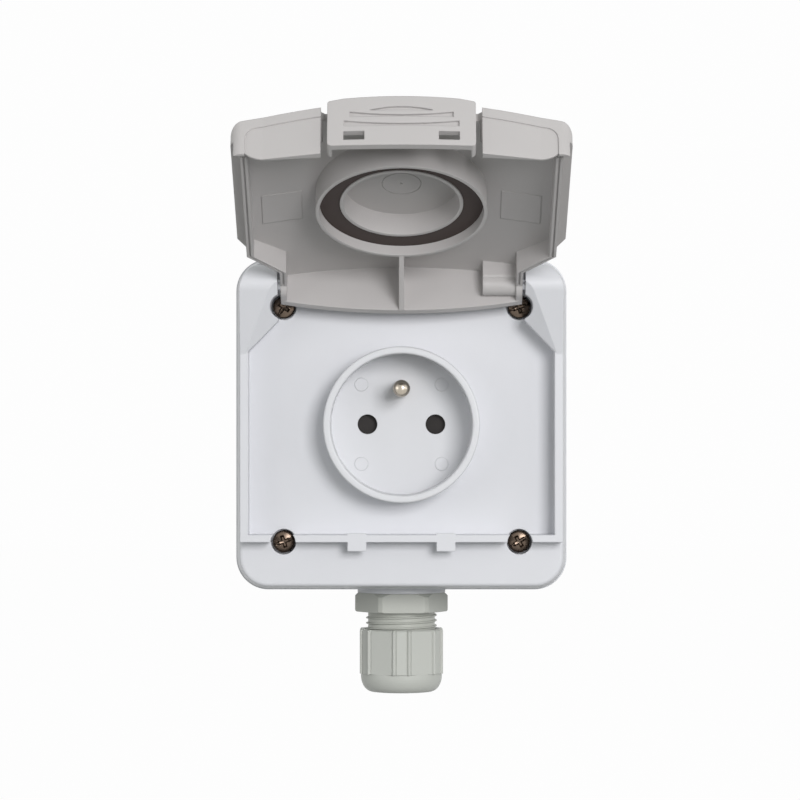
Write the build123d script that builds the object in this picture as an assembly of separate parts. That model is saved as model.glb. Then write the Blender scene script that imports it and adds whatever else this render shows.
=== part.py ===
from build123d import *
import math
import os

# Surface-mounted weatherproof wall socket with a hinged lid, shown open, and a cable gland below.
# Millimetres. +X is right as seen from the front, +Z is up and +Y goes into the wall.
# The origin is the centre of the wall face, on the socket's axis, so the front looks along -Y.

# Wall box
BOX_SIDE = 92.4
BOX_CORNER = 9.0
BOX_DEPTH = 38.0
BOX_WALL = 2.8
BOX_FLOOR = 2.5
BOX_BACK_ROUNDING = 1.2
POST_RADIUS = 4.2
POST_WEB = 1.8
WALL_HOLE_RADIUS = 2.3
WALL_HOLE_RIM = 2.0
WALL_HOLE_INSET_X = 24.2
WALL_HOLE_INSET_Z = 12.2
WALL_PAD_HEIGHT = 1.5
SEAL_WIDTH = 1.2
SEAL_DEPTH = 1.2

# Front cover; insets are measured from the wall box's outer faces
COVER_TAPER = 7.5
COVER_STEP = 0.2
COVER_ROUNDING = 1.0
SHELF_RISE = 8.2
RAIL_RISE = 5.8
RECESS_SINK = 2.7
FLOOR_THICKNESS = 2.3
COVER_WALL = 2.4
RAIL_INSET = 1.6
RAIL_WIDTH = 2.25
FRAME_CORNER = 8.0
RECESS_BOTTOM_INSET = 15.7
BAR_THICKNESS = 2.0
EAR_WIDTH = 8.25
CHAMFER_DROP = 18.3
CHAMFER_RISE = 8.5
EAR_FOOT_DROP = 19.0
EAR_BEVEL = 36.0
LUG_X = 12.3
LUG_WIDTH = 5.2
LUG_HEIGHT = 1.8
LUG_REACH = 2.5
LUG_CLEARANCE = 0.3

# Cover screws
SCREW_INSET_X = 13.45
SCREW_INSET_Z = 13.6
SCREW_HEAD_RADIUS = 3.1
SCREW_HEAD_HEIGHT = 2.0
SCREW_HEAD_ROUNDING = 0.7
SCREW_SHANK_RADIUS = 1.7
SCREW_HOLE_RADIUS = 1.9
SCREW_LENGTH = 26.0
SCREW_CROSS_WIDTH = 0.8
SCREW_CROSS_DEPTH = 1.1
SCREW_CROSS_MARGIN = 0.5
SCREW_WELL_RADIUS = 3.5
SCREW_WELL_WALL = 1.5
SCREW_SEAL_THICKNESS = 0.8
FIT = 0.05

# Hinge and lid; insets and drops are measured from the hinge axis or the cover's rails
HINGE_DROP = 7.7
OPEN_ANGLE = 118.8
EAR_RADIUS = 5.6
HINGE_PIN_RADIUS = 1.5
HINGE_PIN_LENGTH = 8.1
HINGE_PIN_CHAMFER = 0.3
HINGE_PIN_INSET = 0.3
RUNNING_FIT = 0.08
LID_INSET = 0.2
LID_HEIGHT = 11.0
LID_CROWN_RADIUS = 200.0
LID_TILT = 1.36
LID_SHOULDER = 3.4
LID_PANEL = 2.2
LID_UNDERSIDE = -0.7
RIM_DEPTH = 2.2
RIM_WALL = 1.9
RIM_GAP = 0.4
RIM_GROOVE_INSET = 0.75
RIM_GROOVE_WIDTH = 0.4
RIM_GROOVE_DEPTH = 0.4
NOTCH_GAP = 0.8
NARROW_WALL = 1.75
OVERHANG_END_DROP = 23.5
BACK_WALL = 2.0
BACK_WALL_OVERLAP = 4.0
BACK_EDGE_SIDE = 3.8
BACK_EDGE_MIDDLE = 6.8
RIB_THICKNESS = 1.4

# Free end of the lid: two wings with a recessed face each, and the grip tongue between them
WING_INNER_X = 20.9
WING_LIP_RUN = 4.6
WING_DROP_INNER = 2.9
WING_DROP_OUTER = 1.4
WING_GAP = 0.35
WING_CORNER = 3.0
WING_LIP_INNER = 4.0
WING_LIP_OUTER = 4.9
WING_LIP_CORNER = 3.0
WING_POST_WIDTH = 3.8
WING_POST_LIP = 3.6
WING_RECESS = 0.45
WING_BAND = 2.7
GRIP_HALF = 19.2
GRIP_RADIUS = 300.0
GRIP_DROP = 6.5
GRIP_WALL = 2.1
GRIP_SIDE_WALL = 1.2
GRIP_LIP = 3.9
GRIP_LIP_CORNER = 1.2
GRIP_BEVEL_START = 12.0
GRIP_BEVEL_ANGLE = 10.5
GRIP_CORNER = 0.8
SLOT_NECK = 1.1
SLOT_REACH = 0.6
WINDOW_SIDE_GAP = 0.1
WINDOW_LOW = -0.4
WINDOW_HIGH = 2.2
GROOVE_DEPTH = 0.7

# Sealing collar inside the lid
LID_COLLAR_RADIUS = 22.95
LID_COLLAR_WALL = 1.0
LID_COLLAR_RIM = 0.3
GASKET_FACE = -2.6
GASKET_THICKNESS = 3.0
GASKET_ROOM = 5.45
RING_WALL = 1.0
RING_RIM = -2.3

# Bracket beside the right-hand hinge pin, with a barrel round the hinge axis
BRACKET_WIDTH = 9.15
BRACKET_REACH = 3.5
BRACKET_FRONT = -0.5
BRACKET_ROUNDING = 0.8
BARREL_RADIUS = 2.9

# Socket well and contacts
COLLAR_RISE = 2.3
WELL_RIM_ROUNDING = 0.5
WELL_DEPTH = 15.0
WELL_FLOOR_THICKNESS = 2.0
COLLAR_RADIUS = 21.6
COLLAR_WALL = 2.0
FLANGE_RADIUS = 24.5
PIN_SPACING = 19.0
PIN_HOLE_RADIUS = 2.75
EARTH_PIN_RADIUS = 2.4
EARTH_PIN_Z = 10.0
EARTH_PIN_REACH = 14.0
EARTH_SHANK_RADIUS = 2.1
EARTH_PIN_RELIEF = 0.3
RIVET_RADIUS = 1.6
RIVET_HEAD_RADIUS = 2.6
RIVET_HEAD_HEIGHT = 1.2
CARRIER_RADIUS = 23.0
CARRIER_DEPTH = 20.3
CARRIER_LUG_DEPTH = 7.3
CARRIER_LUG_THICKNESS = 2.5
CARRIER_LUG_WIDTH = 8.0
CARRIER_BOSS_RADIUS = 3.2
CARRIER_BOSS_GAP = 0.4
CARRIER_SCREW_RADIUS = 1.2
CARRIER_SCREW_HEAD = 2.6
CARRIER_SCREW_HEAD_HEIGHT = 1.8
CARRIER_SCREW_BITE = 1.4
BACK_PLATE_THICKNESS = 2.0
DRIVER_HOLE_RADIUS = 2.8
SHUTTER_THICKNESS = 1.8
SHUTTER_TRAVEL = 6.0
SHUTTER_HALF = 13.5
SHUTTER_TOP = 10.5
SHUTTER_HEIGHT = 15.0
SHUTTER_CORNER = 1.0
SHUTTER_WINDOW_GAP = 0.3
SHUTTER_PIN_GAP = 0.8
SPRING_LENGTH = 9.0
SPRING_STRIP = 0.3
SPRING_WAVES = 5
SPRING_REACH = 3.5
SPRING_BEND = 0.5
SPRING_END_WIDTH = 4.0
SLIDE_GAP = 0.15
CHAMBER_DEPTH = 6.3
CHAMBER_HALF = 4.6
CONTACT_REACH = 9.0
CONTACT_SHEET = 0.8
CONTACT_OPENING = 4.6
CONTACT_HEIGHT = 7.0
CONTACT_LIP = 2.0
CONTACT_CLEARANCE = 0.3
CONTACT_TAB = 3.0
TERMINAL_X = 17.0
TERMINAL_ROOM = 7.0
TERMINAL_ROOM_DEPTH = 5.0
TERMINAL_SCREW_RADIUS = 1.5
TERMINAL_SCREW_HEAD = 2.5
TERMINAL_SCREW_HEAD_HEIGHT = 2.0
TERMINAL_SCREW_TIP = 4.5
EARTH_TERMINAL_Z = 16.5
EARTH_STRAP_WIDTH = 6.6
EARTH_STRAP_END = 3.1
EARTH_STRAP_CORNER = 1.5
EARTH_PILLAR_RADIUS = 2.7
EARTH_PILLAR_HEIGHT = 4.0
DRIVER_SLOT_LENGTH = 4.0
DRIVER_SLOT_WIDTH = 0.7
DRIVER_SLOT_DEPTH = 0.9

# Cable gland, an M20 moulding
GLAND_Y = -19.0
BOSS_RADIUS = 12.5
BOSS_HEIGHT = 1.7
WASHER_WALL = 0.9
WASHER_THICKNESS = 1.0
GLAND_THREAD_RADIUS = 10.0
GLAND_THREAD_DEPTH = 0.5
GLAND_THREAD_FIT = 0.15
GLAND_BORE_RADIUS = 6.6
HEX_ACROSS_FLATS = 23.5
HEX_CORNER_RADIUS = 13.2
HEX_CHAMFER = 1.0
HEX_EDGE = 0.3
HEX_HEIGHT = 5.5
HEX_TURN = 3.0
GLAND_TAIL = 10.1
GLAND_WIDE_BORE = 8.6
GLAND_BORE_STEP = 2.6
GLAND_WALL_REACH = 6.5
LOCKNUT_HEIGHT = 4.5
GLAND_SEAL_LENGTH = 12.0
GLAND_SEAL_BORE = 5.5
GLAND_SEAL_FIT = 0.2
DOME_NUT_RADIUS = 11.5
DOME_NUT_NARROW_FACET = 10.35
DOME_NUT_RIDGE = 0.45
DOME_NUT_RIDGE_LENGTH = 12.0
DOME_NUT_GAP = 4.9
DOME_NUT_LENGTH = 17.9
DOME_NUT_ROUNDING = 5.0
DOME_NUT_CHAMFER = 0.5
DOME_NUT_END = 1.5
DOME_NUT_ROOM = 0.3

os.makedirs("parts", exist_ok=True)


def front_plane(y):
    """Plane parallel to the wall at depth y, seen from the front: local x is X, local y is Z."""
    return Plane(origin=(0, y, 0), x_dir=(1, 0, 0), z_dir=(0, -1, 0))


def side_plane(x):
    """Plane across the part at x, seen from the right: local x is Y, local y is Z."""
    return Plane(origin=(x, 0, 0), x_dir=(0, 1, 0), z_dir=(1, 0, 0))


def slab(outline, back, front):
    """Solid with a front-view outline, from depth back to depth front."""
    return extrude(front_plane(back) * outline, amount=back - front, dir=(0, -1, 0))


def tapered_slab(outline, back, front, taper):
    """Slab whose sides lean inwards by taper degrees towards the front."""
    return extrude(front_plane(back) * outline, amount=back - front, taper=taper)


def across(outline, left, width):
    """Solid with a side-view outline, from x = left towards +X."""
    return extrude(side_plane(left) * outline, amount=width, dir=(1, 0, 0))


def column(outline, bottom, height):
    """Solid with a top-view outline, from z = bottom upwards."""
    return extrude(Plane.XY.offset(bottom) * outline, amount=height, dir=(0, 0, 1))


def rod(x, z, radius, back, front):
    """Round bar or hole along Y."""
    return slab(Pos(x, z) * Circle(radius), back, front)


def upright(y, radius, bottom, top, x=0.0):
    """Round bar or hole along Z."""
    return column(Pos(x, y) * Circle(radius), bottom, top - bottom)


def four_corners(x, z):
    return [(-x, -z), (x, -z), (-x, z), (x, z)]


def half_outline(points):
    """Closed outline from the points of its right half, mirrored to the left."""
    left = [(-x, z) for x, z in reversed(points)]
    return Polygon(*points, *left, align=None)


def write(name, shape):
    export_step(shape, "parts/" + name + ".step")


# Places that several pieces share
box_half = BOX_SIDE / 2
split = -BOX_DEPTH
shelf_front = split - SHELF_RISE
rail_front = shelf_front - RAIL_RISE
recess_floor = shelf_front + RECESS_SINK
floor_back = recess_floor + FLOOR_THICKNESS
hinge_y = rail_front
well_rim = rail_front - COLLAR_RISE
well_floor = well_rim + WELL_DEPTH
well_back = well_floor + WELL_FLOOR_THICKNESS
carrier_back = well_back + CARRIER_DEPTH
carrier_lug_front = well_back + CARRIER_LUG_DEPTH
chamber_front = well_back + CHAMBER_DEPTH
contact_base = chamber_front + CONTACT_REACH
screw_x = box_half - SCREW_INSET_X
screw_z = box_half - SCREW_INSET_Z
hinge_z = box_half - HINGE_DROP
rail_outer = box_half - RAIL_INSET
recess_half = rail_outer - RAIL_WIDTH
recess_bottom = RECESS_BOTTOM_INSET - box_half
notch_half = recess_half - EAR_WIDTH
chamfer_low = hinge_z - CHAMFER_DROP
chamfer_top = chamfer_low + CHAMFER_RISE
bar_low = recess_bottom - BAR_THICKNESS

# Wall box: an open tray with corner posts, a seal groove in its rim and a boss for the gland
box_inner = BOX_SIDE - 2 * BOX_WALL
inner_corner = BOX_CORNER - BOX_WALL
post_room = box_half - BOX_WALL - screw_x

box = slab(RectangleRounded(BOX_SIDE, BOX_SIDE, BOX_CORNER), 0, split)
box = fillet(box.edges().group_by(Axis.Y)[-1], BOX_BACK_ROUNDING)
box -= slab(RectangleRounded(box_inner, box_inner, inner_corner), -BOX_FLOOR, split)
for x, z in four_corners(screw_x, screw_z):
    web = Pos(x + math.copysign(post_room / 2, x), z) * Rectangle(post_room, POST_WEB)
    box += slab(web, -BOX_FLOOR, split)
    box += rod(x, z, POST_RADIUS, -BOX_FLOOR, split)
for x, z in four_corners(screw_x, screw_z):
    box -= rod(x, z, SCREW_SHANK_RADIUS + FIT, -BOX_FLOOR, split)
for x, z in four_corners(box_half - WALL_HOLE_INSET_X, box_half - WALL_HOLE_INSET_Z):
    box += rod(x, z, WALL_HOLE_RADIUS + WALL_HOLE_RIM, -BOX_FLOOR, -BOX_FLOOR - WALL_PAD_HEIGHT)
    box -= rod(x, z, WALL_HOLE_RADIUS, 0, -BOX_FLOOR - WALL_PAD_HEIGHT)
boss_low = -box_half - BOSS_HEIGHT
washer_radius = BOSS_RADIUS - WASHER_WALL
wall_inside = -box_half + BOX_WALL
box += upright(GLAND_Y, BOSS_RADIUS, boss_low, wall_inside)
box -= upright(GLAND_Y, GLAND_THREAD_RADIUS + GLAND_THREAD_FIT, boss_low, wall_inside)
box -= upright(GLAND_Y, washer_radius, boss_low, boss_low + WASHER_THICKNESS)

seal_inset = (BOX_WALL - SEAL_WIDTH) / 2
seal_side = BOX_SIDE - 2 * seal_inset
seal_ring = RectangleRounded(seal_side, seal_side, BOX_CORNER - seal_inset) - RectangleRounded(
    seal_side - 2 * SEAL_WIDTH, seal_side - 2 * SEAL_WIDTH, BOX_CORNER - seal_inset - SEAL_WIDTH
)
box_seal = slab(seal_ring, split + SEAL_DEPTH, split)
box -= box_seal
write("wall_box", box)
write("box_seal", box_seal)

# Front cover: tapered skirt, raised frame with the recess, hinge ears and latch lugs
cover_side = BOX_SIDE - 2 * COVER_STEP
skirt_depth = split - shelf_front
shelf_side = cover_side - 2 * skirt_depth * math.tan(math.radians(COVER_TAPER))
cover_half = shelf_side / 2
ear_top = hinge_z + EAR_RADIUS

cover = tapered_slab(RectangleRounded(cover_side, cover_side, BOX_CORNER), split, shelf_front, COVER_TAPER)
cover = fillet(cover.edges().group_by(Axis.Y)[0], COVER_ROUNDING)
frame_height = cover_half - bar_low
frame_outline = Pos(0, bar_low + frame_height / 2) * Rectangle(2 * rail_outer, frame_height)
frame_outline = fillet(frame_outline.vertices().group_by(Axis.Y)[-1], FRAME_CORNER)
cover += slab(frame_outline, recess_floor, rail_front)

# The ear's side view: a flank that runs tangent into the barrel round the hinge axis
ear_foot = hinge_z - EAR_FOOT_DROP
flank = math.asin(EAR_RADIUS / EAR_FOOT_DROP)
tangent_run = math.sqrt(EAR_FOOT_DROP**2 - EAR_RADIUS**2)
tangent_point = (rail_front - tangent_run * math.sin(flank), ear_foot + tangent_run * math.cos(flank))
barrel_point = (hinge_y - EAR_RADIUS * math.cos(flank), hinge_z + EAR_RADIUS * math.sin(flank))
ear_face = make_face(
    [
        Line((recess_floor, ear_foot), (rail_front, ear_foot)),
        Line((rail_front, ear_foot), tangent_point),
        ThreePointArc(tangent_point, barrel_point, (hinge_y, ear_top)),
        Line((hinge_y, ear_top), (recess_floor, ear_top)),
        Line((recess_floor, ear_top), (recess_floor, ear_foot)),
    ]
)
ear = across(ear_face, notch_half, rail_outer - notch_half)
ear &= slab(frame_outline, recess_floor, hinge_y - 2 * EAR_RADIUS)
chamfer_run = Vector(-EAR_WIDTH, 0, CHAMFER_RISE).normalized()
outward = Vector(chamfer_run.Z, 0, -chamfer_run.X)
bevel = math.radians(EAR_BEVEL)
bevel_normal = outward * -math.sin(bevel) + Vector(0, -1, 0) * math.cos(bevel)
bevel_plane = Plane(origin=(recess_half, rail_front, chamfer_low), x_dir=chamfer_run, z_dir=bevel_normal)
ear -= extrude(bevel_plane * Rectangle(BOX_SIDE, BOX_SIDE), amount=BOX_SIDE)
cover += ear
cover += mirror(ear, Plane.YZ)

over_top = cover_half + EAR_RADIUS
recess = half_outline(
    [
        (recess_half, recess_bottom),
        (recess_half, chamfer_low),
        (notch_half, chamfer_top),
        (notch_half, over_top),
    ]
)
in_front = hinge_y - 3 * EAR_RADIUS
cover -= slab(recess, recess_floor, in_front)

hollow_side = cover_side - 2 * COVER_WALL
hollow_outline = RectangleRounded(hollow_side, hollow_side, BOX_CORNER - COVER_WALL)
cover -= tapered_slab(hollow_outline, split, floor_back, COVER_TAPER)
shelf_height = cover_half - COVER_WALL + bar_low
shelf_room = Pos(0, bar_low - shelf_height / 2) * Rectangle(shelf_side - 4 * COVER_WALL, shelf_height)
cover -= slab(shelf_room, floor_back, shelf_front + FLOOR_THICKNESS)

for x, z in four_corners(screw_x, screw_z):
    cover += rod(x, z, SCREW_WELL_RADIUS + SCREW_WELL_WALL, split, recess_floor)
for x, z in four_corners(screw_x, screw_z):
    cover -= rod(x, z, SCREW_WELL_RADIUS, floor_back, in_front)
    cover -= rod(x, z, SCREW_HOLE_RADIUS, split, floor_back)

pin_start = notch_half - NOTCH_GAP - NARROW_WALL + HINGE_PIN_INSET
pin_section = Pos(hinge_y, hinge_z) * Circle(HINGE_PIN_RADIUS)
for left in (-pin_start - HINGE_PIN_LENGTH, pin_start):
    cover -= across(pin_section, left, HINGE_PIN_LENGTH)

grip_centre = bar_low - GRIP_DROP + GRIP_RADIUS
grip_inner_radius = GRIP_RADIUS - GRIP_WALL
lug_disc = Pos(0, grip_centre) * Circle(grip_inner_radius - LUG_CLEARANCE)
for side in (-1, 1):
    lug = Pos(side * LUG_X, bar_low) * Rectangle(LUG_WIDTH, 2 * LUG_REACH)
    cover += slab(lug & lug_disc, rail_front + LUG_HEIGHT, rail_front)

cover -= rod(0, 0, COLLAR_RADIUS + FIT, split, rail_front)
boss_x = FLANGE_RADIUS + CARRIER_BOSS_RADIUS + CARRIER_BOSS_GAP
screw_tip = floor_back - CARRIER_SCREW_BITE
for side in (-1, 1):
    cover -= rod(side * boss_x, 0, CARRIER_SCREW_RADIUS + FIT, floor_back, screw_tip)
write("front_cover", cover)

# Cover screws with a sealing ring under each head
seal_top = floor_back - SCREW_SEAL_THICKNESS
head_top = seal_top - SCREW_HEAD_HEIGHT
screws = []
screw_seals = []
for x, z in four_corners(screw_x, screw_z):
    head = rod(x, z, SCREW_HEAD_RADIUS, seal_top, head_top)
    head = fillet(head.edges().group_by(Axis.Y)[0], SCREW_HEAD_ROUNDING)
    arm = Rectangle(2 * (SCREW_HEAD_RADIUS - SCREW_CROSS_MARGIN), SCREW_CROSS_WIDTH)
    cross = Pos(x, z) * (Rot(0, 0, 45) * arm + Rot(0, 0, 135) * arm)
    head -= slab(cross, head_top + SCREW_CROSS_DEPTH, head_top)
    shank = rod(x, z, SCREW_SHANK_RADIUS, seal_top + SCREW_LENGTH, seal_top)
    screws.append(head + shank)
    washer = rod(x, z, SCREW_HEAD_RADIUS, floor_back, seal_top)
    screw_seals.append(washer - rod(x, z, SCREW_SHANK_RADIUS + FIT, floor_back, seal_top))
write("cover_screws", Compound(screws))
write("screw_seals", Compound(screw_seals))

# Socket well: collar through the cover, floor with the pin holes, flange and screw bosses behind
pin_x = PIN_SPACING / 2
lug_bar = RectangleRounded(2 * boss_x + CARRIER_LUG_WIDTH, CARRIER_LUG_WIDTH, CARRIER_LUG_WIDTH / 2 - FIT)
well = rod(0, 0, COLLAR_RADIUS, well_back, well_rim)
well += rod(0, 0, FLANGE_RADIUS, well_back, floor_back)
well += slab(lug_bar, well_back, floor_back)
well -= rod(0, 0, COLLAR_RADIUS - COLLAR_WALL, well_floor, well_rim)
well = fillet(well.edges().group_by(Axis.Y)[0], WELL_RIM_ROUNDING)
for side in (-1, 1):
    well += rod(side * boss_x, 0, CARRIER_BOSS_RADIUS, carrier_lug_front, well_back)
    well -= rod(side * boss_x, 0, CARRIER_SCREW_RADIUS + FIT, carrier_lug_front, floor_back)
    well -= rod(side * pin_x, 0, PIN_HOLE_RADIUS, well_back, well_floor)
well -= rod(0, EARTH_PIN_Z, EARTH_SHANK_RADIUS + FIT, well_back, well_floor)
write("socket_well", well)

# Shutter behind the pin holes: it slides down to bring its windows to the holes
shutter_front = well_back + SLIDE_GAP
shutter_back = shutter_front + SHUTTER_THICKNESS
shutter_low = SHUTTER_TOP - SHUTTER_HEIGHT
pocket_floor = shutter_back + SLIDE_GAP
spring_foot = shutter_low - SPRING_LENGTH
plate = Pos(0, SHUTTER_TOP - SHUTTER_HEIGHT / 2) * RectangleRounded(
    2 * SHUTTER_HALF, SHUTTER_HEIGHT, SHUTTER_CORNER
)
shutter = slab(plate, shutter_back, shutter_front)
for side in (-1, 1):
    window_radius = PIN_HOLE_RADIUS + SHUTTER_WINDOW_GAP
    shutter -= rod(side * pin_x, SHUTTER_TRAVEL, window_radius, shutter_back, shutter_front)
pin_room = EARTH_SHANK_RADIUS + SHUTTER_PIN_GAP
shutter -= rod(0, EARTH_PIN_Z, pin_room, shutter_back, shutter_front)
open_end = Pos(0, EARTH_PIN_Z + SHUTTER_TRAVEL / 2) * Rectangle(2 * pin_room, SHUTTER_TRAVEL)
shutter -= slab(open_end, shutter_back, shutter_front)
write("shutter", shutter)

# Wavy return spring between the shutter's lower edge and the foot of its pocket
wave_room = SPRING_LENGTH - 4 * SPRING_STRIP
wave_points = [(0, shutter_low)]
for step in range(SPRING_WAVES):
    turn_z = shutter_low - 2 * SPRING_STRIP - (step + 0.5) * wave_room / SPRING_WAVES
    wave_points.append((SPRING_REACH if step % 2 == 0 else -SPRING_REACH, turn_z))
wave_points.append((0, spring_foot))
wave = trace(FilletPolyline(*wave_points, radius=SPRING_BEND), SPRING_STRIP)
for end in (shutter_low - SPRING_STRIP / 2, spring_foot + SPRING_STRIP / 2):
    wave += Pos(0, end) * Rectangle(SPRING_END_WIDTH, SPRING_STRIP)
wave &= Pos(0, (shutter_low + spring_foot) / 2) * Rectangle(4 * SPRING_REACH, SPRING_LENGTH)
spring = slab(wave, shutter_back - SLIDE_GAP, shutter_front + SLIDE_GAP)
write("shutter_spring", spring)

# Contact carrier: round block behind the well, held to its bosses by two lugs
lug_back = carrier_lug_front + CARRIER_LUG_THICKNESS
pocket_top = SHUTTER_TOP + 2 * SLIDE_GAP
pocket_height = pocket_top - spring_foot
pocket_width = 2 * SHUTTER_HALF + 2 * SLIDE_GAP
carrier = rod(0, 0, CARRIER_RADIUS, carrier_back, well_back)
carrier += slab(lug_bar, lug_back, carrier_lug_front)
pocket = Pos(0, spring_foot + pocket_height / 2) * Rectangle(pocket_width, pocket_height)
carrier -= slab(pocket, pocket_floor, well_back)
terminal_room_front = contact_base - TERMINAL_ROOM_DEPTH
for side in (-1, 1):
    chamber = Pos(side * pin_x, 0) * Rectangle(2 * CHAMBER_HALF, 2 * CHAMBER_HALF)
    terminal = Pos(side * TERMINAL_X, 0) * Rectangle(TERMINAL_ROOM, TERMINAL_ROOM)
    carrier -= rod(side * pin_x, 0, PIN_HOLE_RADIUS + 2 * FIT, chamber_front, pocket_floor)
    carrier -= slab(chamber, carrier_back, chamber_front)
    carrier -= slab(terminal, carrier_back, terminal_room_front)
    carrier -= rod(side * boss_x, 0, CARRIER_SCREW_RADIUS + CONTACT_CLEARANCE, lug_back, carrier_lug_front)
earth_middle = (EARTH_PIN_Z + EARTH_TERMINAL_Z) / 2
strap_length = EARTH_TERMINAL_Z - EARTH_PIN_Z + 2 * EARTH_STRAP_END
earth_room = Pos(0, earth_middle) * Rectangle(
    EARTH_STRAP_WIDTH + 2 * CONTACT_CLEARANCE, strap_length + 2 * CONTACT_CLEARANCE
)
carrier -= slab(earth_room, carrier_back, chamber_front)
carrier -= rod(0, EARTH_PIN_Z, EARTH_SHANK_RADIUS + FIT, chamber_front, well_back)
write("contact_carrier", carrier)

plate_back = carrier_back + BACK_PLATE_THICKNESS
back_plate = rod(0, 0, CARRIER_RADIUS, plate_back, carrier_back)
for x, z in [(-TERMINAL_X, 0), (TERMINAL_X, 0), (0, EARTH_TERMINAL_Z)]:
    back_plate -= rod(x, z, DRIVER_HOLE_RADIUS, plate_back, carrier_back)
write("carrier_back_plate", back_plate)


def driver_slot(x, z, face):
    """Straight slot for a screwdriver in a head whose outer face is at depth face."""
    bar = Pos(x, z) * Rectangle(DRIVER_SLOT_LENGTH, DRIVER_SLOT_WIDTH)
    return slab(bar, face, face - DRIVER_SLOT_DEPTH)


carrier_screws = []
for side in (-1, 1):
    x = side * boss_x
    head_back = lug_back + CARRIER_SCREW_HEAD_HEIGHT
    head = rod(x, 0, CARRIER_SCREW_HEAD, head_back, lug_back)
    head -= driver_slot(x, 0, head_back)
    carrier_screws.append(head + rod(x, 0, CARRIER_SCREW_RADIUS, lug_back, screw_tip + CONTACT_CLEARANCE))
write("carrier_screws", Compound(carrier_screws))

# Contacts: two spring leaves on a base plate, with a tab that runs out to the terminal screw
base_back = contact_base + CONTACT_SHEET
leaf_end = chamber_front + CONTACT_CLEARANCE
base_inner = pin_x - CHAMBER_HALF + 2 * CONTACT_CLEARANCE
base_outer = TERMINAL_X + CONTACT_TAB
terminal_screws = []
for name, side in (("live_contact", -1), ("neutral_contact", 1)):
    base = Pos(side * (base_inner + base_outer) / 2, 0) * Rectangle(
        base_outer - base_inner, CONTACT_HEIGHT - 2 * CONTACT_CLEARANCE
    )
    contact = slab(base, base_back, contact_base)
    for leaf in (-1, 1):
        blade_x = side * pin_x + leaf * (CONTACT_OPENING + CONTACT_SHEET) / 2
        lip_x = side * pin_x + leaf * (CONTACT_OPENING + CONTACT_LIP) / 2
        blade = Pos(blade_x, 0) * Rectangle(CONTACT_SHEET, CONTACT_HEIGHT)
        lip = Pos(lip_x, 0) * Rectangle(CONTACT_LIP, CONTACT_HEIGHT)
        contact += slab(blade, contact_base, leaf_end)
        contact += slab(lip, leaf_end + CONTACT_SHEET, leaf_end)
    contact -= rod(side * TERMINAL_X, 0, TERMINAL_SCREW_RADIUS + FIT, base_back, contact_base)
    write(name, contact)
    head_back = base_back + TERMINAL_SCREW_HEAD_HEIGHT
    screw = rod(side * TERMINAL_X, 0, TERMINAL_SCREW_HEAD, head_back, base_back)
    screw -= driver_slot(side * TERMINAL_X, 0, head_back)
    screw += rod(side * TERMINAL_X, 0, TERMINAL_SCREW_RADIUS, base_back, contact_base - TERMINAL_SCREW_TIP)
    terminal_screws.append(screw)

# Earth pin: its shoulder clears the well's floor, and it is riveted to its strap
strap_back = chamber_front + CONTACT_SHEET
pin_foot = well_floor - EARTH_PIN_RELIEF
pin_tip = well_floor - EARTH_PIN_REACH
earth_pin = rod(0, EARTH_PIN_Z, EARTH_PIN_RADIUS, pin_foot, pin_tip)
earth_pin = fillet(earth_pin.edges().group_by(Axis.Y)[0], EARTH_PIN_RADIUS - 2 * FIT)
earth_pin += rod(0, EARTH_PIN_Z, EARTH_SHANK_RADIUS, chamber_front, pin_foot)
earth_pin += rod(0, EARTH_PIN_Z, RIVET_RADIUS, strap_back, chamber_front)
earth_pin += rod(0, EARTH_PIN_Z, RIVET_HEAD_RADIUS, strap_back + RIVET_HEAD_HEIGHT, strap_back)
write("earth_pin", earth_pin)

pillar_back = strap_back + EARTH_PILLAR_HEIGHT
strap_outline = Pos(0, earth_middle) * RectangleRounded(EARTH_STRAP_WIDTH, strap_length, EARTH_STRAP_CORNER)
strap = slab(strap_outline, strap_back, chamber_front)
strap += rod(0, EARTH_TERMINAL_Z, EARTH_PILLAR_RADIUS, pillar_back, strap_back)
strap -= rod(0, EARTH_PIN_Z, RIVET_RADIUS + FIT, strap_back, chamber_front)
strap -= rod(0, EARTH_TERMINAL_Z, TERMINAL_SCREW_RADIUS + FIT, pillar_back, chamber_front)
write("earth_strap", strap)
earth_head_back = pillar_back + TERMINAL_SCREW_HEAD_HEIGHT
earth_screw = rod(0, EARTH_TERMINAL_Z, TERMINAL_SCREW_HEAD, earth_head_back, pillar_back)
earth_screw -= driver_slot(0, EARTH_TERMINAL_Z, earth_head_back)
earth_screw += rod(0, EARTH_TERMINAL_Z, TERMINAL_SCREW_RADIUS, pillar_back, leaf_end)
terminal_screws.append(earth_screw)
write("terminal_screws", Compound(terminal_screws))

# Cable gland: hexagon body through the box wall, washer, locknut, sleeve and dome nut
hex_low = boss_low - HEX_HEIGHT
tail_low = hex_low - GLAND_TAIL
core_radius = GLAND_THREAD_RADIUS - GLAND_THREAD_DEPTH
gland_top = wall_inside + GLAND_WALL_REACH
gland = upright(GLAND_Y, GLAND_THREAD_RADIUS, boss_low, gland_top)
hexagon = Pos(0, GLAND_Y) * RegularPolygon(HEX_ACROSS_FLATS / 2, 6, major_radius=False, rotation=HEX_TURN)
hex_block = column(hexagon, hex_low, HEX_HEIGHT)
hex_round = upright(GLAND_Y, HEX_CORNER_RADIUS, hex_low, boss_low)
hex_round = chamfer(hex_round.edges().group_by(Axis.Z)[-1], HEX_CHAMFER)
hex_round = chamfer(hex_round.edges().group_by(Axis.Z)[0], HEX_EDGE)
gland += hex_block & hex_round
gland += upright(GLAND_Y, core_radius, tail_low, hex_low)
gland -= upright(GLAND_Y, GLAND_BORE_RADIUS, tail_low, gland_top)
gland -= upright(GLAND_Y, GLAND_WIDE_BORE, tail_low, hex_low - GLAND_BORE_STEP)
write("gland_body", gland)

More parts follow.
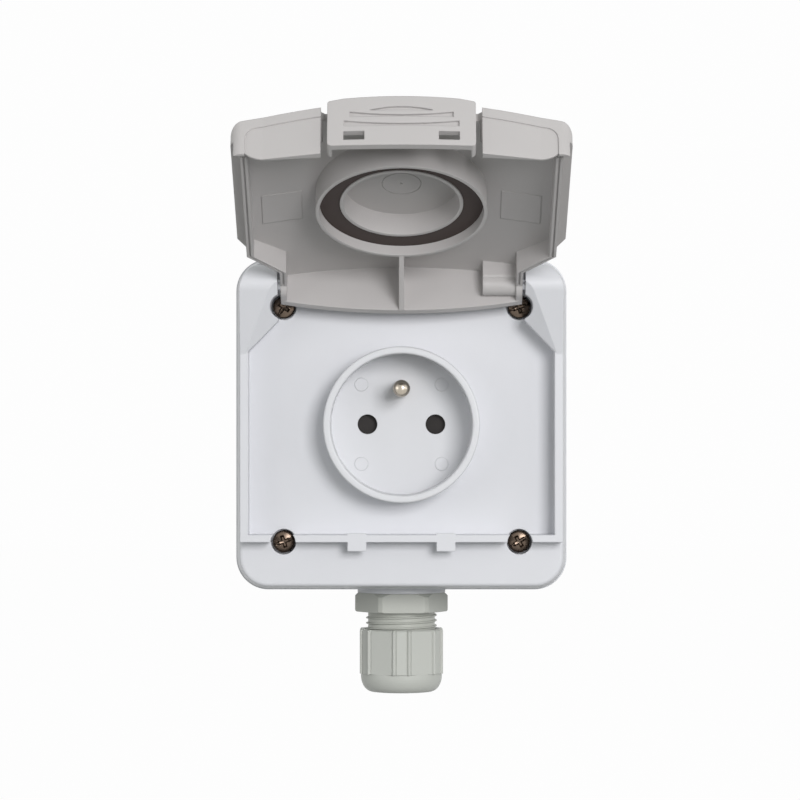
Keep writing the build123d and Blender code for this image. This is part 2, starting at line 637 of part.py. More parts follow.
washer = upright(GLAND_Y, washer_radius, boss_low, boss_low + WASHER_THICKNESS)
washer -= upright(GLAND_Y, GLAND_THREAD_RADIUS + FIT, boss_low, boss_low + WASHER_THICKNESS)
write("gland_washer", washer)

locknut_outline = Pos(0, GLAND_Y) * RegularPolygon(HEX_ACROSS_FLATS / 2, 6, major_radius=False, rotation=90.0)
locknut = column(locknut_outline, wall_inside, LOCKNUT_HEIGHT)
locknut -= upright(GLAND_Y, GLAND_THREAD_RADIUS + FIT, wall_inside, wall_inside + LOCKNUT_HEIGHT)
write("gland_locknut", locknut)

# Dome nut: six wide and six narrow facets, a half-round ridge on each edge between them
nut_top = hex_low - DOME_NUT_GAP
nut_low = nut_top - DOME_NUT_LENGTH
nut_shoulder = nut_top - GLAND_TAIL - DOME_NUT_ROOM
edge_points = []
for turn in range(0, 360, 60):
    for edge in (-DOME_NUT_NARROW_FACET, DOME_NUT_NARROW_FACET):
        angle = math.radians(turn - 90 + edge)
        edge_points.append((DOME_NUT_RADIUS * math.cos(angle), GLAND_Y + DOME_NUT_RADIUS * math.sin(angle)))
nut = upright(GLAND_Y, DOME_NUT_RADIUS, nut_low, nut_top)
nut = fillet(nut.edges().group_by(Axis.Z)[0], DOME_NUT_ROUNDING)
nut = chamfer(nut.edges().group_by(Axis.Z)[-1], DOME_NUT_CHAMFER)
nut &= column(Polygon(*edge_points, align=None), nut_low, DOME_NUT_LENGTH)
for x, y in edge_points:
    nut += upright(y, DOME_NUT_RIDGE, nut_top - DOME_NUT_RIDGE_LENGTH, nut_top - DOME_NUT_CHAMFER, x)
nut -= upright(GLAND_Y, GLAND_THREAD_RADIUS + GLAND_THREAD_FIT, nut_shoulder, nut_top)
nut -= upright(GLAND_Y, GLAND_WIDE_BORE - GLAND_SEAL_FIT / 2, nut_low + DOME_NUT_END, nut_shoulder)
nut -= upright(GLAND_Y, GLAND_BORE_RADIUS, nut_low, nut_low + DOME_NUT_END)
write("dome_nut", nut)

sleeve_low = nut_low + DOME_NUT_END + GLAND_SEAL_FIT
sleeve_top = sleeve_low + GLAND_SEAL_LENGTH
sleeve = upright(GLAND_Y, GLAND_WIDE_BORE - GLAND_SEAL_FIT, sleeve_low, sleeve_top)
sleeve -= upright(GLAND_Y, GLAND_SEAL_BORE, sleeve_low, sleeve_top)
write("gland_seal_sleeve", sleeve)

# Hinge pins pressed into the ears
pins = []
for left in (-pin_start - HINGE_PIN_LENGTH, pin_start):
    pin = across(pin_section, left, HINGE_PIN_LENGTH)
    pins.append(chamfer(pin.edges().filter_by(GeomType.CIRCLE), HINGE_PIN_CHAMFER))
write("hinge_pins", Compound(pins))

# Lid, built in its closed place. Its depths are measured from the hinge axis towards the wall.
lid_half = rail_outer - LID_INSET
post_inner = lid_half - WING_POST_WIDTH
wing_bend_x = post_inner - WING_LIP_RUN
ring_radius = LID_COLLAR_RADIUS - LID_COLLAR_WALL - GASKET_ROOM
rim_half = recess_half - RIM_GAP
narrow_half = notch_half - NOTCH_GAP
back_z = hinge_z + BACK_WALL_OVERLAP
wing_inner_z = bar_low - WING_GAP
wing_z_inner = bar_low - WING_DROP_INNER
wing_z_outer = bar_low - WING_DROP_OUTER
rim_low = recess_bottom + RIM_GAP
overhang_end = hinge_z - OVERHANG_END_DROP
rim_chamfer_low = chamfer_low - RIM_GAP
rim_chamfer_top = chamfer_top - RIM_GAP
grip_front = bar_low - GRIP_DROP
beyond = grip_front - LID_HEIGHT
deep = hinge_y + 2 * BACK_EDGE_MIDDLE
high = hinge_y - 2 * LID_HEIGHT


def lid_slab(outline, back, front):
    """Slab of the closed lid between two depths measured from the hinge axis."""
    return slab(outline, hinge_y + back, hinge_y + front)


def crowned_bar(half_width, height, crown_radius, shoulder):
    """Long bar with a crowned front, tilted a little towards the hinge as the lid's panel is."""
    side_y = hinge_y - height + half_width**2 / (2 * crown_radius)
    section = make_face(
        [
            ThreePointArc((-half_width, side_y), (0, hinge_y - height), (half_width, side_y)),
            Polyline((half_width, side_y), (half_width, deep), (-half_width, deep), (-half_width, side_y)),
        ]
    )
    if shoulder:
        section = fillet(section.vertices().group_by(Axis.Y)[0], shoulder)
    bar = column(section, beyond, back_z - beyond + LID_HEIGHT)
    tilt_axis = Axis((0, hinge_y - height, grip_front), (1, 0, 0))
    return bar.rotate(tilt_axis, -LID_TILT)


upper_points = [(rim_half, rim_chamfer_low), (narrow_half, rim_chamfer_top), (narrow_half, back_z)]
wing_outline = half_outline(
    [
        (WING_INNER_X, wing_z_inner),
        (wing_bend_x, wing_z_outer),
        (lid_half, wing_z_outer),
        (lid_half, overhang_end),
    ]
    + upper_points
)
wing_corners = wing_outline.vertices().filter_by(lambda v: abs(v.X) > lid_half - FIT and v.Y < 0)
wing_outline = fillet(wing_corners, WING_CORNER)
panel = crowned_bar(lid_half, LID_HEIGHT, LID_CROWN_RADIUS, LID_SHOULDER)
lid = panel & lid_slab(wing_outline, LID_UNDERSIDE, -2 * LID_HEIGHT)

# Rim that enters the recess, and the lower part of the wings' end walls with their shaped lips
rim_outline = half_outline([(rim_half, rim_low)] + upper_points)
lid += lid_slab(rim_outline, RIM_DEPTH, LID_UNDERSIDE)
lip_arc_x = (wing_bend_x + post_inner) / 2
lip_arc_y = hinge_y + WING_LIP_OUTER - (WING_LIP_OUTER - WING_LIP_CORNER) / 4
lip_face = make_face(
    [
        Line((WING_INNER_X, hinge_y + WING_LIP_INNER), (wing_bend_x, hinge_y + WING_LIP_OUTER)),
        ThreePointArc(
            (wing_bend_x, hinge_y + WING_LIP_OUTER),
            (lip_arc_x, lip_arc_y),
            (post_inner, hinge_y + WING_LIP_CORNER),
        ),
        Polyline(
            (post_inner, hinge_y + WING_LIP_CORNER),
            (post_inner, hinge_y + WING_POST_LIP),
            (lid_half, hinge_y + WING_POST_LIP),
            (lid_half, high),
            (WING_INNER_X, high),
            (WING_INNER_X, hinge_y + WING_LIP_INNER),
        ),
    ]
)
lip_bar = column(lip_face, beyond, wing_inner_z - beyond)
lip = lip_bar & lid_slab(wing_outline, WING_LIP_OUTER, LID_UNDERSIDE)
lid += lip
lid += mirror(lip, Plane.YZ)

# Recessed face of each wing, below a band that follows the crown
recess_z_inner = wing_z_inner + WING_RECESS
recess_z_outer = wing_z_outer + WING_RECESS
face_room = half_outline(
    [
        (post_inner, beyond),
        (post_inner, recess_z_outer),
        (wing_bend_x, recess_z_outer),
        (WING_INNER_X, recess_z_inner),
    ]
)
face_bar = crowned_bar(post_inner, LID_HEIGHT - WING_BAND, LID_CROWN_RADIUS - WING_BAND, LID_SHOULDER)
lid -= face_bar & lid_slab(face_room, 2 * BACK_EDGE_MIDDLE, -2 * LID_HEIGHT)

# Grip tongue: a nearly flat face with bevelled upper corners, open to the slots on both sides
grip_top = hinge_y - LID_HEIGHT
bevel_drop = (GRIP_HALF - GRIP_BEVEL_START) * math.tan(math.radians(GRIP_BEVEL_ANGLE))
grip_elevation = Polygon(
    (GRIP_BEVEL_START, grip_top),
    (GRIP_HALF, grip_top + bevel_drop),
    (GRIP_HALF, hinge_y + GRIP_LIP),
    (-GRIP_HALF, hinge_y + GRIP_LIP),
    (-GRIP_HALF, grip_top + bevel_drop),
    (-GRIP_BEVEL_START, grip_top),
    align=None,
)
grip_corners = grip_elevation.vertices().filter_by(lambda v: abs(v.X) > GRIP_HALF - FIT)
grip_elevation = fillet(grip_corners.group_by(Axis.Y)[-1], GRIP_LIP_CORNER)
side_corners = grip_elevation.vertices().filter_by(
    lambda v: abs(v.X) > GRIP_HALF - FIT and v.Y < hinge_y - GRIP_LIP
)
grip_elevation = fillet(side_corners, GRIP_CORNER)
grip_bar = column(grip_elevation, beyond, wing_inner_z - beyond)
grip_plan = (Pos(0, grip_centre) * Circle(GRIP_RADIUS)) & (Pos(0, bar_low) * Rectangle(2 * GRIP_HALF, BOX_SIDE / 4))
lid += grip_bar & lid_slab(grip_plan, 2 * BACK_EDGE_MIDDLE, -2 * LID_HEIGHT) & panel

# Hollow under the panel and behind the end walls
inner_outline = half_outline(
    [
        (rim_half - RIM_WALL, wing_inner_z),
        (rim_half - RIM_WALL, rim_chamfer_low),
        (narrow_half - NARROW_WALL, rim_chamfer_top),
        (narrow_half - NARROW_WALL, back_z - BACK_WALL),
    ]
)
grip_room = (Pos(0, grip_centre) * Circle(grip_inner_radius)) & (
    Pos(0, bar_low) * Rectangle(2 * (GRIP_HALF - GRIP_SIDE_WALL), BOX_SIDE / 4)
)
cavity_bar = crowned_bar(lid_half, LID_HEIGHT - LID_PANEL, LID_CROWN_RADIUS - LID_PANEL, 0)
lid -= cavity_bar & lid_slab(inner_outline + grip_room, 2 * BACK_EDGE_MIDDLE, -2 * LID_HEIGHT)

# Seam groove along the side rims' edges
groove_sides = []
for inset in (RIM_GROOVE_INSET, RIM_GROOVE_INSET + RIM_GROOVE_WIDTH):
    groove_sides.append(
        [
            (rim_half - inset, rim_low),
            (rim_half - inset, rim_chamfer_low),
            (narrow_half - inset, rim_chamfer_top),
            (narrow_half - inset, hinge_z - BACK_EDGE_SIDE),
        ]
    )
seam_outline = Polygon(*groove_sides[1], *groove_sides[0][::-1], align=None)
seam = lid_slab(seam_outline, RIM_DEPTH, RIM_DEPTH - RIM_GROOVE_DEPTH)
lid -= seam
lid -= mirror(seam, Plane.YZ)

# Back wall of the lid, with an arched lower edge, and bosses round the hinge pins
back_section = make_face(
    [
        ThreePointArc(
            (-narrow_half, hinge_y + BACK_EDGE_SIDE),
            (0, hinge_y + BACK_EDGE_MIDDLE),
            (narrow_half, hinge_y + BACK_EDGE_SIDE),
        ),
        Polyline(
            (narrow_half, hinge_y + BACK_EDGE_SIDE),
            (narrow_half, hinge_y - BACK_WALL_OVERLAP),
            (-narrow_half, hinge_y - BACK_WALL_OVERLAP),
            (-narrow_half, hinge_y + BACK_EDGE_SIDE),
        ),
    ]
)
lid += column(back_section, back_z - BACK_WALL, BACK_WALL)
cheek_face = Pos(hinge_y, hinge_z) * Circle(BACK_EDGE_SIDE)
cheek_face += Pos(hinge_y, hinge_z + BACK_WALL_OVERLAP / 2) * Rectangle(2 * BACK_EDGE_SIDE, BACK_WALL_OVERLAP)
hinge_bore = Pos(hinge_y, hinge_z) * Circle(HINGE_PIN_RADIUS + RUNNING_FIT)
for left in (-narrow_half, narrow_half - NARROW_WALL):
    lid += across(cheek_face, left, NARROW_WALL)
lid -= across(hinge_bore, -notch_half, 2 * notch_half)

# Bracket beside the right-hand pin, and the central rib from the back wall to the collar
panel_inside = hinge_y - LID_HEIGHT + LID_PANEL
panel_room = panel & lid_slab(inner_outline, 2 * BACK_EDGE_MIDDLE, -2 * LID_HEIGHT)
bracket_left = narrow_half - NARROW_WALL - BRACKET_WIDTH
bracket_face = Polygon(
    (high, back_z - BACK_WALL),
    (hinge_y + BRACKET_FRONT, back_z - BACK_WALL),
    (hinge_y + BRACKET_FRONT, hinge_z - BRACKET_REACH),
    (high, hinge_z - BRACKET_REACH),
    align=None,
)
bracket = across(bracket_face, bracket_left, BRACKET_WIDTH)
front_edge = bracket.edges().filter_by(Axis.X).group_by(Axis.Y)[-1].sort_by(Axis.Z)[0]
bracket = fillet(front_edge, BRACKET_ROUNDING)
bracket += across(Pos(hinge_y, hinge_z) * Circle(BARREL_RADIUS), bracket_left, BRACKET_WIDTH)
lid += bracket & panel_room

rib_low = LID_COLLAR_RADIUS - LID_COLLAR_WALL / 2
rib_face = Polygon(
    (panel_inside, back_z - BACK_WALL),
    (hinge_y + BACK_EDGE_MIDDLE, back_z - BACK_WALL),
    (hinge_y + LID_COLLAR_RIM, rib_low),
    (panel_inside, rib_low),
    align=None,
)
lid += across(rib_face, -RIB_THICKNESS / 2, RIB_THICKNESS) & panel_room

# Sealing collar, gasket and inner ring
shelf_y = hinge_y + GASKET_FACE - GASKET_THICKNESS
collar_rim = hinge_y + LID_COLLAR_RIM
lid += rod(0, 0, LID_COLLAR_RADIUS, collar_rim, panel_inside - LID_PANEL / 2) & panel
lid -= rod(0, 0, LID_COLLAR_RADIUS - LID_COLLAR_WALL, collar_rim, shelf_y)
lid += rod(0, 0, ring_radius, hinge_y + RING_RIM, shelf_y)
lid -= rod(0, 0, ring_radius - RING_WALL, hinge_y + RING_RIM, panel_inside)
gasket = rod(0, 0, LID_COLLAR_RADIUS - LID_COLLAR_WALL - FIT, hinge_y + GASKET_FACE, shelf_y)
gasket -= rod(0, 0, ring_radius + FIT, hinge_y + GASKET_FACE, shelf_y)

# Slots beside the grip tongue, cut through the panel's end, and windows that snap over the lugs
slot_end = wing_inner_z + SLOT_REACH
slot_points = [
    (GRIP_HALF, beyond),
    (WING_INNER_X, beyond),
    (WING_INNER_X, slot_end - SLOT_NECK),
    (WING_INNER_X - SLOT_NECK, slot_end),
    (GRIP_HALF, slot_end),
]
slot = lid_slab(Polygon(*slot_points, align=None), 2 * BACK_EDGE_MIDDLE, -2 * LID_HEIGHT)
lid -= slot
lid -= mirror(slot, Plane.YZ)
for side in (-1, 1):
    window = Pos(side * LUG_X, bar_low - GRIP_DROP) * Rectangle(
        LUG_WIDTH + 2 * WINDOW_SIDE_GAP, 2 * (GRIP_DROP - WING_GAP)
    )
    lid -= lid_slab(window, WINDOW_HIGH, WINDOW_LOW)

# Three grip grooves in the tongue's face: a lens and two with an arched upper edge
groove_shapes = [
    (8.1, -6.9, -7.9, -6.7),
    (13.4, -6.4, -5.4, -4.8),
    (14.9, -3.7, -2.7, -2.0),
]
groove_floor = Pos(0, grip_centre) * Circle(GRIP_RADIUS - GROOVE_DEPTH)
groove_plan = (Pos(0, bar_low) * Rectangle(2 * GRIP_HALF, BOX_SIDE / 4)) - groove_floor
for half_width, end_depth, top_depth, low_depth in groove_shapes:
    groove_face = make_face(
        [
            ThreePointArc(
                (-half_width, hinge_y + end_depth),
                (0, hinge_y + top_depth),
                (half_width, hinge_y + end_depth),
            ),
            Polyline(
                (half_width, hinge_y + end_depth),
                (half_width, hinge_y + low_depth),
                (-half_width, hinge_y + low_depth),
                (-half_width, hinge_y + end_depth),
            ),
        ]
    )
    groove = column(groove_face, beyond, bar_low - beyond)
    lid -= groove & lid_slab(groove_plan, 2 * BACK_EDGE_MIDDLE, -2 * LID_HEIGHT)

hinge_axis = Axis((0, hinge_y, hinge_z), (1, 0, 0))
write("lid_shell", lid.rotate(hinge_axis, -OPEN_ANGLE))
write("lid_gasket", gasket.rotate(hinge_axis, -OPEN_ANGLE))
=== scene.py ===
import bpy
import math
import bmesh
from mathutils import Matrix, Vector
from mathutils.bvhtree import BVHTree


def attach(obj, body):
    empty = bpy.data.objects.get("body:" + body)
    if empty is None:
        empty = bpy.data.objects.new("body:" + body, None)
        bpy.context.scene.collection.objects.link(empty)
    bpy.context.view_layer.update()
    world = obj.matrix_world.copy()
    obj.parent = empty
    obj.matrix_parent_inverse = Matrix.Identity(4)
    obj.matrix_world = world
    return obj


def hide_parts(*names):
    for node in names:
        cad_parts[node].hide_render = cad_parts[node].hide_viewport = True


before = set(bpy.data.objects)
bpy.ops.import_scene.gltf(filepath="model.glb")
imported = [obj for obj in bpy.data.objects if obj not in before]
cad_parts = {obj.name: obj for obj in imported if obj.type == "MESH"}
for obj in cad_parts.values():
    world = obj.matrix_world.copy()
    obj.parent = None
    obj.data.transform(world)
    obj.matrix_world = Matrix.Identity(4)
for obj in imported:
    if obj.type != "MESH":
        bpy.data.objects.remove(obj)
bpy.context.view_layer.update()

# The socket hangs on a wall, so the camera stands square in front of it, about a metre away, a
# little above the pin holes, with a long lens.
camera_x = -0.0004
camera_y = -1.052
camera_z = 0.0068
focal_pixels = 3622.0
image_pixels = 800.0
sensor_width = 36.0
nearest_seen = 0.05

camera_data = bpy.data.cameras.new("camera")
camera_data.sensor_width = sensor_width
camera_data.lens = focal_pixels * sensor_width / image_pixels
camera_data.clip_start = nearest_seen
camera = bpy.data.objects.new("camera", camera_data)
camera.location = (camera_x, camera_y, camera_z)
camera.rotation_euler = (math.pi / 2, 0, 0)
bpy.context.scene.collection.objects.link(camera)
bpy.context.scene.camera = camera
bpy.context.scene.view_settings.view_transform = "Standard"


# The floor is white paper below the socket, in a pale room. Camera and reflections see both
# nearly white, and the paper takes the soft shadow.
class Value:
    """A shader socket that takes part in Python arithmetic, each operation adding one Math node."""

    def __init__(self, nodes, socket):
        self.nodes = nodes
        self.socket = socket

    def math(self, operation, first, second):
        node = self.nodes.add("ShaderNodeMath", {"operation": operation}, {0: first, 1: second})
        return Value(self.nodes, node.outputs[0])

    def __add__(self, other):
        return self.math("ADD", self, other)

    def __radd__(self, other):
        return self.math("ADD", other, self)

    def __mul__(self, other):
        return self.math("MULTIPLY", self, other)

    def __rmul__(self, other):
        return self.math("MULTIPLY", other, self)


class Nodes:
    """A node tree, emptied at the start, and the one method that adds nodes to it."""

    def __init__(self, tree):
        self.tree = tree
        tree.nodes.clear()

    def add(self, kind, settings=None, sockets=None):
        """A new node of a type, with its settings first, then the values or links of its sockets."""
        node = self.tree.nodes.new(kind)
        for key, setting in (settings or {}).items():
            setattr(node, key, setting)
        for key, given in (sockets or {}).items():
            if isinstance(given, Value):
                given = given.socket
            if isinstance(given, bpy.types.NodeSocket):
                self.tree.links.new(given, node.inputs[key])
            else:
                node.inputs[key].default_value = given
        return node


def blank_material(name):
    """A new material and its empty tree."""
    material = bpy.data.materials.new(name)
    material.use_nodes = True
    return material, Nodes(material.node_tree)


def linear(red, green, blue):
    """An sRGB colour from 0 to 255 as the linear colour that a shader takes."""
    channels = [channel / 255 for channel in (red, green, blue)]
    return tuple(c / 12.92 if c <= 0.04045 else ((c + 0.055) / 1.055) ** 2.4 for c in channels) + (1,)


def blend(nodes, share, first, second):
    """Colour between two, by a share. Inputs 6 and 7 and output 2 are the Mix node's colours."""
    return nodes.add("ShaderNodeMix", {"data_type": "RGBA"}, {0: share, 6: first, 7: second}).outputs[2]


def sight(nodes):
    """What the camera sees, and what the camera or a reflection sees, each 0 or 1."""
    path = nodes.add("ShaderNodeLightPath").outputs
    camera_sees = Value(nodes, path["Is Camera Ray"])
    return camera_sees, camera_sees + Value(nodes, path["Is Glossy Ray"])


floor_low = -0.16
floor_half = 3.0
floor_glow = 0.97
paper_as_seen = linear(250, 250, 250)
paper_as_light = linear(150, 152, 150)
full_white = (1, 1, 1, 1)
room_white = 0.985
room_light = 0.44
room_tint = (0.97, 1.0, 0.98, 1)

floor_corners = []
for side, reach in ((-1, -1), (1, -1), (1, 1), (-1, 1)):
    floor_corners.append((side * floor_half, reach * floor_half, floor_low))
floor_mesh = bpy.data.meshes.new("floor")
floor_mesh.from_pydata(floor_corners, [], [(0, 1, 2, 3)])
floor = bpy.data.objects.new("floor", floor_mesh)
bpy.context.scene.collection.objects.link(floor)

paper, sheet = blank_material("white_paper")
camera_sees, seen = sight(sheet)
paper_colour = blend(sheet, camera_sees, paper_as_light, paper_as_seen)
matt = sheet.add("ShaderNodeBsdfDiffuse", {}, {"Color": paper_colour})
white = sheet.add("ShaderNodeEmission", {}, {"Color": full_white, "Strength": 1.0})
both = sheet.add("ShaderNodeMixShader", {}, {0: seen * floor_glow, 1: matt.outputs[0], 2: white.outputs[0]})
sheet.add("ShaderNodeOutputMaterial", {}, {"Surface": both.outputs[0]})
floor.data.materials.append(paper)

world = bpy.data.worlds.new("pale_room")
bpy.context.scene.world = world
world.use_nodes = True
room = Nodes(world.node_tree)
seen = sight(room)[1]
lit = room.add("ShaderNodeBackground", {}, {"Color": room_tint, "Strength": room_light})
white = room.add("ShaderNodeBackground", {}, {"Color": full_white, "Strength": room_white})
both = room.add("ShaderNodeMixShader", {}, {0: seen, 1: lit.outputs[0], 2: white.outputs[0]})
room.add("ShaderNodeOutputWorld", {}, {"Surface": both.outputs[0]})

# The light is a large soft box not far from the camera's line, to the right and a little above, so
# that the open lid throws no shadow on the cover, and a weaker one on each side.
socket_middle = Vector((0, -0.045, 0))
lamp_tint = (1.0, 0.99, 1.0)


def soft_box(name, place, size, share):
    """A square lamp aimed at the socket, which alone lights a facing surface to that share of white."""
    distance = (Vector(place) - socket_middle).length
    lamp_data = bpy.data.lights.new(name, "AREA")
    lamp_data.shape = "SQUARE"
    lamp_data.size = size
    lamp_data.energy = share * math.pi ** 2 * distance ** 2
    lamp_data.color = lamp_tint
    lamp = bpy.data.objects.new(name, lamp_data)
    lamp.location = place
    lamp.rotation_euler = (socket_middle - Vector(place)).to_track_quat("-Z", "Y").to_euler()
    bpy.context.scene.collection.objects.link(lamp)


soft_box("key_lamp", (0.45, -1.35, 0.30), size=0.50, share=0.58)
soft_box("left_lamp", (-1.05, -0.75, 0.0), size=0.80, share=0.20)
soft_box("right_lamp", (1.05, -0.75, 0.0), size=0.80, share=0.15)

# The wall box is an injection moulding in a very light cool grey, screwed to the wall through four
# round holes in its back. Its satin skin comes from a spark-eroded mould.
plastic_dull = 0.975
plastic_clear = 1.02
plastic_roughness_drift = 0.08
plastic_grain_height = 0.00004
edge_samples = 6


def noise(nodes, scale, detail, roughness):
    """Fractal noise over the piece's own coordinates."""
    place = nodes.add("ShaderNodeTexCoord").outputs["Object"]
    sockets = {"Vector": place, "Scale": scale, "Detail": detail, "Roughness": roughness}
    return Value(nodes, nodes.add("ShaderNodeTexNoise", {}, sockets).outputs[0])


def shade(colour, share):
    """The colour made darker or lighter, and never past full white."""
    return tuple(min(1.0, share * c) for c in colour[:3]) + (1,)


def coat(nodes, sockets):
    """End a material's tree in a surface with these sockets."""
    surface = nodes.add("ShaderNodeBsdfPrincipled", {}, sockets)
    nodes.add("ShaderNodeOutputMaterial", {}, {"Surface": surface.outputs[0]})


def moulded(name, colour, roughness, grain, edge):
    """Moulded plastic: slow drift in tone, a fine eroded grain, and softly broken edges."""
    material, nodes = blank_material(name)
    drift = noise(nodes, scale=60.0, detail=4.0, roughness=0.6)
    eroded = noise(nodes, scale=2600.0, detail=3.0, roughness=0.55)
    rounded = nodes.add("ShaderNodeBevel", {"samples": edge_samples}, {"Radius": edge}).outputs[0]
    relief = {"Strength": grain, "Distance": plastic_grain_height, "Height": eroded, "Normal": rounded}
    coat(
        nodes,
        {
            "Base Color": blend(nodes, drift, shade(colour, plastic_dull), shade(colour, plastic_clear)),
            "Roughness": roughness + plastic_roughness_drift * drift,
            "Normal": nodes.add("ShaderNodeBump", {}, relief).outputs[0],
        },
    )
    return material


def dress(material, *nodes):
    """Give CAD nodes their finish."""
    for node in nodes:
        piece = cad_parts[node]
        piece.data.materials.clear()
        piece.data.materials.append(material)


cover_plastic = moulded("cover_plastic", linear(217, 218, 222), roughness=0.38, grain=0.35, edge=0.0004)
dress(cover_plastic, "wall_box")

# The seal between box and cover is a black rubber cord in a groove, squeezed as the cover is
# screwed down.
rubber_deep = 0.85
rubber_dusty = 1.2
rubber_roughness_drift = 0.1
rubber_grain = 0.4
rubber_grain_height = 0.00005


def rubber(name, colour, roughness):
    """Moulded rubber: matt, with a dusty mottle."""
    material, nodes = blank_material(name)
    dust = noise(nodes, scale=900.0, detail=5.0, roughness=0.65)
    relief = {"Strength": rubber_grain, "Distance": rubber_grain_height, "Height": dust}
    coat(
        nodes,
        {
            "Base Color": blend(nodes, dust, shade(colour, rubber_deep), shade(colour, rubber_dusty)),
            "Roughness": roughness + rubber_roughness_drift * dust,
            "Normal": nodes.add("ShaderNodeBump", {}, relief).outputs[0],
        },
    )
    return material


black_rubber = rubber("black_rubber", linear(38, 38, 38), roughness=0.60)
dress(black_rubber, "box_seal")

# The front cover is moulded in the same plastic as the box. Its raised frame, ears and bottom bar
# are one with it, and four screws hold it down.
dress(cover_plastic, "front_cover")

# The cover screws are bronze-plated steel with a rounded head, a cross recess and a straight slot
# through it, each on a black rubber ring at the bottom of its well. Four alike are driven home,
# each stopped at its own angle.
screw_spacing_x = 0.0655
screw_spacing_z = 0.0652
screw_seat = -0.0420
screw_head_radius = 0.0031
screw_head_height = 0.0020
screw_head_shoulder = 0.0007
screw_head_crown = 0.0006
screw_shank_radius = 0.0017
screw_length = 0.0260
screw_point = 0.0020
screw_point_radius = screw_shank_radius / 3
cross_half = 0.00056
cross_reach = 0.00185
cross_depth = 0.00125
cross_wall = 0.00030
cross_end = 0.00060
cross_taper = 0.45
slot_half = 0.00030
slot_depth = 0.00060
slot_wall = 0.00016
recess_floor = 0.0005
head_rings = 30
head_sectors = 96
metal_worn = 0.75
metal_bright = 1.2
metal_roughness_drift = 0.15
merge_distance = 1e-7


def metal(name, colour, roughness, wear_scale):
    """Plated or bare metal with a fine uneven polish."""
    material, nodes = blank_material(name)
    wear = noise(nodes, scale=wear_scale, detail=4.0, roughness=0.6)
    coat(
        nodes,
        {
            "Base Color": blend(nodes, wear, shade(colour, metal_worn), shade(colour, metal_bright)),
            "Metallic": 1.0,
            "Roughness": roughness + metal_roughness_drift * wear,
        },
    )
    return material


def circle(count):
    """That many angles, evenly spaced once round."""
    return [2 * math.pi * step / count for step in range(count)]


def closed_mesh(name, build):
    """Mesh from a finished bmesh, with doubles merged and its faces turned outwards."""
    bmesh.ops.remove_doubles(build, verts=build.verts, dist=merge_distance)
    bmesh.ops.recalc_face_normals(build, faces=build.faces)
    mesh = bpy.data.meshes.new(name)
    build.to_mesh(mesh)
    build.free()
    return mesh


def at_four_places(name, pattern, material, spacing_x, spacing_z, depth, seed):
    """One object with a copy of the pattern mesh at the corners of an upright rectangle."""
    source = bpy.data.objects.new(name + "_pattern", pattern)
    given = {
        "Spacing X": ("NodeSocketFloat", spacing_x),
        "Spacing Z": ("NodeSocketFloat", spacing_z),
        "Depth": ("NodeSocketFloat", depth),
        "Pattern": ("NodeSocketObject", source),
        "Finish": ("NodeSocketMaterial", material),
    }
    tree = bpy.data.node_groups.new(name, "GeometryNodeTree")
    tree.interface.new_socket("Geometry", in_out="OUTPUT", socket_type="NodeSocketGeometry")
    for key in given:
        tree.interface.new_socket(key, in_out="INPUT", socket_type=given[key][0])
    nodes = Nodes(tree)
    inputs = nodes.add("NodeGroupInput").outputs
    corners = nodes.add(
        "GeometryNodeMeshGrid",
        {},
        {"Size X": inputs["Spacing X"], "Size Y": inputs["Spacing Z"], "Vertices X": 2, "Vertices Y": 2},
    )
    place = nodes.add("ShaderNodeCombineXYZ", {}, {"Y": inputs["Depth"]}).outputs[0]
    upright = nodes.add(
        "GeometryNodeTransform",
        {},
        {"Geometry": corners.outputs["Mesh"], "Translation": place, "Rotation": (math.pi / 2, 0, 0)},
    )
    angle = nodes.add("FunctionNodeRandomValue", {"data_type": "FLOAT"}, {2: 0.0, 3: math.pi, "Seed": seed})
    turn = nodes.add("ShaderNodeCombineXYZ", {}, {"Y": angle.outputs[1]}).outputs[0]
    shape = nodes.add("GeometryNodeObjectInfo", {}, {"Object": inputs["Pattern"]}).outputs["Geometry"]
    copies = nodes.add(
        "GeometryNodeInstanceOnPoints",
        {},
        {"Points": upright.outputs["Geometry"], "Instance": shape, "Rotation": turn},
    )
    real = nodes.add("GeometryNodeRealizeInstances", {}, {"Geometry": copies.outputs["Instances"]})
    finished = nodes.add(
        "GeometryNodeSetMaterial",
        {},
        {"Geometry": real.outputs["Geometry"], "Material": inputs["Finish"]},
    )
    nodes.add("NodeGroupOutput", {}, {"Geometry": finished.outputs["Geometry"]})
    piece = bpy.data.objects.new(name, bpy.data.meshes.new(name + "_base"))
    bpy.context.scene.collection.objects.link(piece)
    modifier = piece.modifiers.new("copies", "NODES")
    modifier.node_group = tree
    for item in tree.interface.items_tree:
        if item.in_out == "INPUT":
            modifier[item.identifier] = given[item.name][1]
    grown = bpy.data.meshes.new_from_object(piece.evaluated_get(bpy.context.evaluated_depsgraph_get()))
    piece.modifiers.clear()
    piece.data = grown
    bpy.data.objects.remove(source)
    return piece


def head_sink(x, z):
    """How deep the cross recess and the slot go below the head's crown at a point."""
    radius = math.hypot(x, z)
    arm = min((cross_half - min(abs(x), abs(z))) / cross_wall, (cross_reach - radius) / cross_end)
    slot = (slot_half - abs(z)) / slot_wall
    taper = max(0.0, 1 - cross_taper * radius / cross_reach)
    return max(cross_depth * taper * min(1.0, max(0.0, arm)), slot_depth * min(1.0, max(0.0, slot)))


def head_height(radius):
    """Height of the head's rounded top above the seat."""
    rim = screw_head_radius - screw_head_shoulder
    top = screw_head_height - screw_head_crown * (radius / screw_head_radius) ** 2
    if radius <= rim:
        return top
    return top - screw_head_shoulder + math.sqrt(max(0.0, screw_head_shoulder ** 2 - (radius - rim) ** 2))


